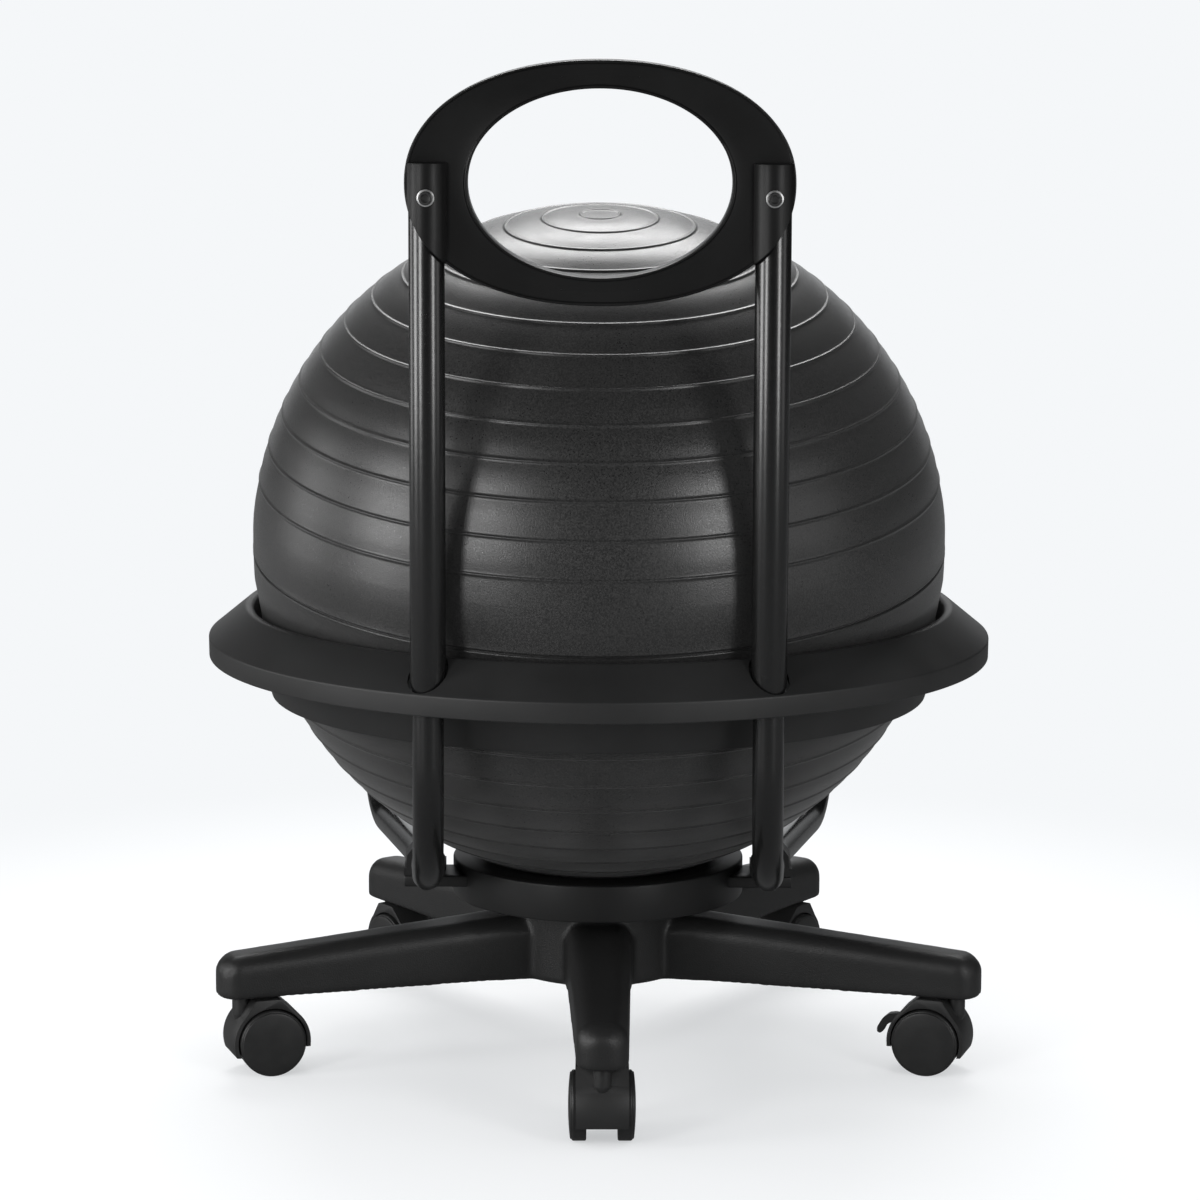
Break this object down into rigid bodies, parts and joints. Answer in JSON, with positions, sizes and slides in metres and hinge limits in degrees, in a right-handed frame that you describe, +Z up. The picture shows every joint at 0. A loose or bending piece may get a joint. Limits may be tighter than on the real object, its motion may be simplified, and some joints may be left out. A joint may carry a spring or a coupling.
{
  "type": "balance ball chair",
  "caption": "Chair with an inflated ridged ball held by a seat ring on a star base with casters, and a low oval loop backrest on two tubes.",
  "frame": {"origin": "on the floor, under the middle of the ball", "axes": "+Z up, the backrest stands at -Y and the sitter faces +Y"},
  "size_m": [0.586, 0.5911, 0.7562],
  "materials": {
    "plastic": "fine moulded grain, matt black",
    "coated": "glossy black powder coat",
    "vinyl": "satin charcoal vinyl",
    "wheel": "satin black",
    "steel": "turned",
    "zinc": "zinc plated",
    "black_steel": "black oxide"
  },
  "bodies": {
    "frame": {"star_base": "plastic", "base_dish": "plastic", "seat_ring": "plastic", "backrest": "plastic", "dish_bolt_1": "steel", "dish_bolt_2": "steel", "dish_bolt_3": "steel", "dish_bolt_4": "steel", "caster_1_socket": "plastic", "caster_2_socket": "plastic", "caster_3_socket": "plastic", "caster_4_socket": "plastic", "caster_5_socket": "plastic", "ring_screw_rear_left": "black_steel", "ring_screw_rear_right": "black_steel", "ring_screw_front_left": "black_steel", "ring_screw_front_right": "black_steel", "backrest_washer_left": "zinc", "backrest_washer_right": "zinc", "backrest_screw_left": "black_steel", "backrest_screw_right": "black_steel", "bar_clamp_left": "plastic", "bar_clamp_right": "plastic", "lower_bar_left": "coated", "lower_bar_right": "coated", "upper_tube_left": "coated", "upper_tube_right": "coated", "clamp_bolt_left_1": "steel", "clamp_bolt_left_2": "steel", "clamp_bolt_right_1": "steel", "clamp_bolt_right_2": "steel"},
    "ball": {"ball": "vinyl", "valve_plug": "plastic"},
    "caster_1": {"caster_1_hood": "plastic", "caster_1_stem": "steel", "caster_1_axle": "steel"},
    "caster_1_wheel_left": {"caster_1_wheel_left": "wheel"},
    "caster_1_wheel_right": {"caster_1_wheel_right": "wheel"},
    "caster_1_brake": {"caster_1_brake_lever": "plastic"},
    "caster_2": {"caster_2_hood": "plastic", "caster_2_stem": "steel", "caster_2_axle": "steel"},
    "caster_2_wheel_left": {"caster_2_wheel_left": "wheel"},
    "caster_2_wheel_right": {"caster_2_wheel_right": "wheel"},
    "caster_2_brake": {"caster_2_brake_lever": "plastic"},
    "caster_3": {"caster_3_hood": "plastic", "caster_3_stem": "steel", "caster_3_axle": "steel"},
    "caster_3_wheel_left": {"caster_3_wheel_left": "wheel"},
    "caster_3_wheel_right": {"caster_3_wheel_right": "wheel"},
    "caster_4": {"caster_4_hood": "plastic", "caster_4_stem": "steel", "caster_4_axle": "steel"},
    "caster_4_wheel_left": {"caster_4_wheel_left": "wheel"},
    "caster_4_wheel_right": {"caster_4_wheel_right": "wheel"},
    "caster_5": {"caster_5_hood": "plastic", "caster_5_stem": "steel", "caster_5_axle": "steel"},
    "caster_5_wheel_left": {"caster_5_wheel_left": "wheel"},
    "caster_5_wheel_right": {"caster_5_wheel_right": "wheel"}
  },
  "joints": [
    {"name": "ball_lift", "type": "slide", "parent": "frame", "child": "ball", "axis": [0, 0, 1], "range_m": [0, 0.06]},
    {"name": "caster_1_swivel", "type": "hinge", "parent": "frame", "child": "caster_1", "pos_m": [0.00372, -0.28027, 0.059], "axis": [0, 0, 1], "continuous": true},
    {"name": "caster_1_wheel_left_roll", "type": "hinge", "parent": "caster_1", "child": "caster_1_wheel_left", "pos_m": [0.00346, -0.26048, 0.025], "axis": [0.9999, 0.0133, 0], "continuous": true},
    {"name": "caster_1_wheel_right_roll", "type": "hinge", "parent": "caster_1", "child": "caster_1_wheel_right", "pos_m": [0.00346, -0.26048, 0.025], "axis": [0.9999, 0.0133, 0], "continuous": true},
    {"name": "caster_1_brake_press", "type": "hinge", "parent": "caster_1", "child": "caster_1_brake", "pos_m": [0.0032, -0.24148, 0.0375], "axis": [-0.9999, -0.0133, 0], "range_deg": [0, 12]},
    {"name": "caster_2_swivel", "type": "hinge", "parent": "frame", "child": "caster_2", "pos_m": [0.26771, -0.08307, 0.059], "axis": [0, 0, 1], "continuous": true},
    {"name": "caster_2_wheel_left_roll", "type": "hinge", "parent": "caster_2", "child": "caster_2_wheel_left", "pos_m": [0.2488, -0.07721, 0.025], "axis": [0.2964, 0.9551, 0], "continuous": true},
    {"name": "caster_2_wheel_right_roll", "type": "hinge", "parent": "caster_2", "child": "caster_2_wheel_right", "pos_m": [0.2488, -0.07721, 0.025], "axis": [0.2964, 0.9551, 0], "continuous": true},
    {"name": "caster_2_brake_press", "type": "hinge", "parent": "caster_2", "child": "caster_2_brake", "pos_m": [0.23065, -0.07157, 0.0375], "axis": [-0.2964, -0.9551, 0], "range_deg": [0, 12]},
    {"name": "caster_3_swivel", "type": "hinge", "parent": "frame", "child": "caster_3", "pos_m": [0.16173, 0.22893, 0.059], "axis": [0, 0, 1], "continuous": true},
    {"name": "caster_3_wheel_left_roll", "type": "hinge", "parent": "caster_3", "child": "caster_3_wheel_left", "pos_m": [0.15031, 0.21276, 0.025], "axis": [-0.8167, 0.577, 0], "continuous": true},
    {"name": "caster_3_wheel_right_roll", "type": "hinge", "parent": "caster_3", "child": "caster_3_wheel_right", "pos_m": [0.15031, 0.21276, 0.025], "axis": [-0.8167, 0.577, 0], "continuous": true},
    {"name": "caster_4_swivel", "type": "hinge", "parent": "frame", "child": "caster_4", "pos_m": [-0.16775, 0.22456, 0.059], "axis": [0, 0, 1], "continuous": true},
    {"name": "caster_4_wheel_left_roll", "type": "hinge", "parent": "caster_4", "child": "caster_4_wheel_left", "pos_m": [-0.1559, 0.2087, 0.025], "axis": [-0.8011, -0.5985, 0], "continuous": true},
    {"name": "caster_4_wheel_right_roll", "type": "hinge", "parent": "caster_4", "child": "caster_4_wheel_right", "pos_m": [-0.1559, 0.2087, 0.025], "axis": [-0.8011, -0.5985, 0], "continuous": true},
    {"name": "caster_5_swivel", "type": "hinge", "parent": "frame", "child": "caster_5", "pos_m": [-0.26541, -0.09015, 0.059], "axis": [0, 0, 1], "continuous": true},
    {"name": "caster_5_wheel_left_roll", "type": "hinge", "parent": "caster_5", "child": "caster_5_wheel_left", "pos_m": [-0.24666, -0.08378, 0.025], "axis": [0.3216, -0.9469, 0], "continuous": true},
    {"name": "caster_5_wheel_right_roll", "type": "hinge", "parent": "caster_5", "child": "caster_5_wheel_right", "pos_m": [-0.24666, -0.08378, 0.025], "axis": [0.3216, -0.9469, 0], "continuous": true}
  ]
}
